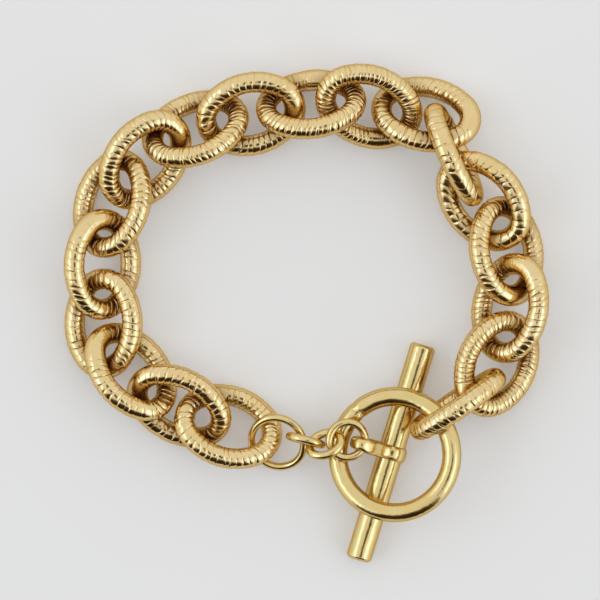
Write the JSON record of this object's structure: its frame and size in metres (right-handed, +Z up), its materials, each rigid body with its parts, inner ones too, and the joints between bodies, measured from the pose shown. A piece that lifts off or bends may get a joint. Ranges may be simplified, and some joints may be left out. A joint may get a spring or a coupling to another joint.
{
  "type": "toggle link bracelet",
  "caption": "Chunky gold-tone bracelet of ribbed oval links, closed with a toggle bar under a round toggle ring and lying flat in a loop.",
  "frame": {"origin": "on the surface that the bracelet lies on, under the middle of its bounding box", "axes": "+Z up from the surface; +Y from the clasp towards the far side of the loop; +X to the right with the clasp in front"},
  "size_m": [0.0721, 0.0742, 0.0129],
  "materials": {
    "ribbed_gold": "gold-tone plating over fine cast ribs, worn smooth at the solder joints",
    "polished_gold": "polished gold-tone plating with fine wear"
  },
  "bodies": {
    "root": {"link_01": "ribbed_gold", "link_02": "ribbed_gold", "link_03": "ribbed_gold", "link_04": "ribbed_gold", "link_05": "ribbed_gold", "link_06": "ribbed_gold", "link_07": "ribbed_gold", "link_08": "ribbed_gold", "link_09": "ribbed_gold", "link_10": "ribbed_gold", "link_11": "ribbed_gold", "link_12": "ribbed_gold", "link_13": "ribbed_gold", "link_14": "ribbed_gold", "link_15": "ribbed_gold", "link_16": "ribbed_gold", "link_17": "ribbed_gold", "link_18": "ribbed_gold", "toggle_ring": "polished_gold", "toggle_bar": "polished_gold", "small_ring": "polished_gold", "small_link_a": "polished_gold", "small_link_b": "polished_gold", "jump_ring": "polished_gold"}
  },
  "joints": []
}
